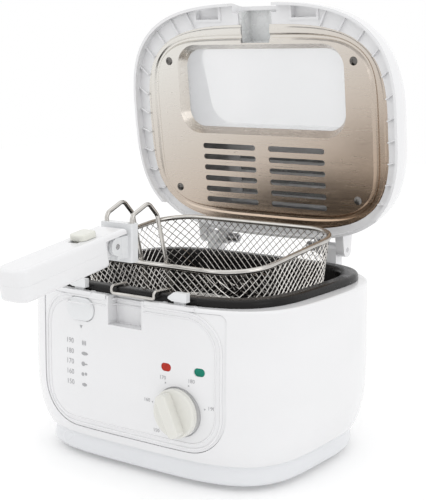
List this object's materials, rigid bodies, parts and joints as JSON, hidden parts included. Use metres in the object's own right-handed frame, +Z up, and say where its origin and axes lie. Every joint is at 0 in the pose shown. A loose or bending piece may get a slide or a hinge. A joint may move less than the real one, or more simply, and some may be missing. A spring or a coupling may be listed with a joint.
{
  "type": "deep fryer",
  "caption": "Countertop deep fryer with a hinged windowed lid, lifting wire basket with folding handle, black pot, round thermostat knob, lamps and lid release button.",
  "frame": {"origin": "bottom centre of the box round the fryer at rest, with its lid open and its basket handle out", "axes": "+X across the width to the right as seen from the front, -Y towards the front and the control panel, +Z up"},
  "size_m": [0.2783, 0.3807, 0.3784],
  "materials": {
    "white_shell": "glossy moulded polypropylene, pure white",
    "base_plastic": "satin white, slightly cool",
    "foot_rubber": "pale grey rubber",
    "steel_screws": "zinc plated, slightly dull",
    "pot_coating": "black non-stick coating, satin",
    "heater_steel": "bare steel, heat darkened",
    "control_parts": "dark phenolic plastic",
    "probe_metal": "coppery metal",
    "gland_plastic": "white nylon",
    "red_lamp": "translucent red lens",
    "green_lamp": "translucent green lens",
    "lamp_glass": "small neon lamps on a pale holder",
    "spring_steel": "bright spring steel",
    "knob_plastic": "warm white, fine gloss",
    "latch_plastic": "white acetal",
    "liner_steel": "brushed stainless steel with warm reflections",
    "window_pane": "clear pane, slightly frosted",
    "seal_silicone": "translucent silicone",
    "guide_plastic": "milky translucent plastic",
    "filter_fleece": "grey grease filter fleece",
    "cover_plastic": "white, glossy",
    "chrome_wire": "bright chrome plated steel wire",
    "bracket_plastic": "white, fine gloss",
    "grip_plastic": "white, soft gloss",
    "slide_plastic": "cream white"
  },
  "bodies": {
    "base": {"housing": "white_shell", "hinge_posts": "white_shell", "base_plate": "base_plastic", "base_screws": "steel_screws", "screw_bosses": "white_shell", "feet": "foot_rubber", "pot": "pot_coating", "heating_element": "heater_steel", "heat_shield": "heater_steel", "shield_legs": "heater_steel", "thermostat": "control_parts", "capillary_probe": "probe_metal", "thermal_cutout": "probe_metal", "terminal_block": "control_parts", "cord_gland": "gland_plastic", "front_panel": "white_shell", "red_lens": "red_lamp", "green_lens": "green_lamp", "indicator_lamps": "lamp_glass", "latch_guides": "control_parts", "latch_spring": "spring_steel", "drain_rest": "chrome_wire"},
    "knob": {"control_knob": "knob_plastic", "knob_spindle": "spring_steel"},
    "latch": {"latch_slider": "latch_plastic"},
    "button": {"release_button": "latch_plastic"},
    "lid": {"lid_shell": "white_shell", "lid_liner": "liner_steel", "liner_screws": "steel_screws", "liner_bosses": "white_shell", "lid_window": "window_pane", "window_seal": "seal_silicone", "wire_guide": "guide_plastic", "steam_filter": "filter_fleece", "hinge_arms": "white_shell", "hinge_pins": "spring_steel", "hinge_springs": "spring_steel"},
    "filter_cover": {"filter_cover": "cover_plastic"},
    "basket": {"basket_mesh": "chrome_wire", "basket_rim": "chrome_wire", "basket_frame": "chrome_wire", "handle_wires": "chrome_wire", "handle_bracket": "bracket_plastic", "pivot_pin": "spring_steel"},
    "grip": {"grip_upper": "grip_plastic", "grip_lower": "grip_plastic", "grip_screws": "steel_screws", "lock_spring": "spring_steel"},
    "lock": {"lock_slide": "slide_plastic"}
  },
  "joints": [
    {"name": "lid_hinge", "type": "hinge", "parent": "base", "child": "lid", "pos_m": [0, 0.1492, 0.162], "axis": [1, 0, 0], "range_deg": [0, 82.72], "stiffness_Nm_per_rad": 0.5, "springref_deg": -68.75, "deforming": ["hinge_springs"]},
    {"name": "filter_cover_lift", "type": "slide", "parent": "lid", "child": "filter_cover", "axis": [0, 0.9919, 0.1267], "range_m": [0, 0.02]},
    {"name": "basket_lift", "type": "slide", "parent": "base", "child": "basket", "axis": [0, 0, 1], "range_m": [-0.052, 0]},
    {"name": "handle_fold", "type": "hinge", "parent": "basket", "child": "grip", "pos_m": [0, -0.0868, 0.19], "axis": [1, 0, 0], "range_deg": [0, 80]},
    {"name": "handle_lock", "type": "slide", "parent": "grip", "child": "lock", "axis": [0, -0.9888, -0.1495], "range_m": [0, 0.005], "stiffness_N_per_m": 200, "springref_m": -0.002, "deforming": ["lock_spring"]},
    {"name": "knob_turn", "type": "hinge", "parent": "base", "child": "knob", "pos_m": [0.052, -0.0668, 0.0625], "axis": [0, -1, 0], "range_deg": [0, 270]},
    {"name": "release_press", "type": "slide", "parent": "base", "child": "button", "axis": [0, 1, 0], "range_m": [0, 0.003], "stiffness_N_per_m": 600, "springref_m": -0.002},
    {"name": "latch_slide", "type": "slide", "parent": "base", "child": "latch", "axis": [1, 0, 0], "range_m": [0, 0.003], "stiffness_N_per_m": 300, "springref_m": -0.002, "deforming": ["latch_spring"]}
  ],
  "couplings": [
    {"joint": "basket_lift", "follows": "lid_hinge", "m_per_rad": -0.036},
    {"joint": "latch_slide", "follows": "release_press", "ratio": 1}
  ]
}
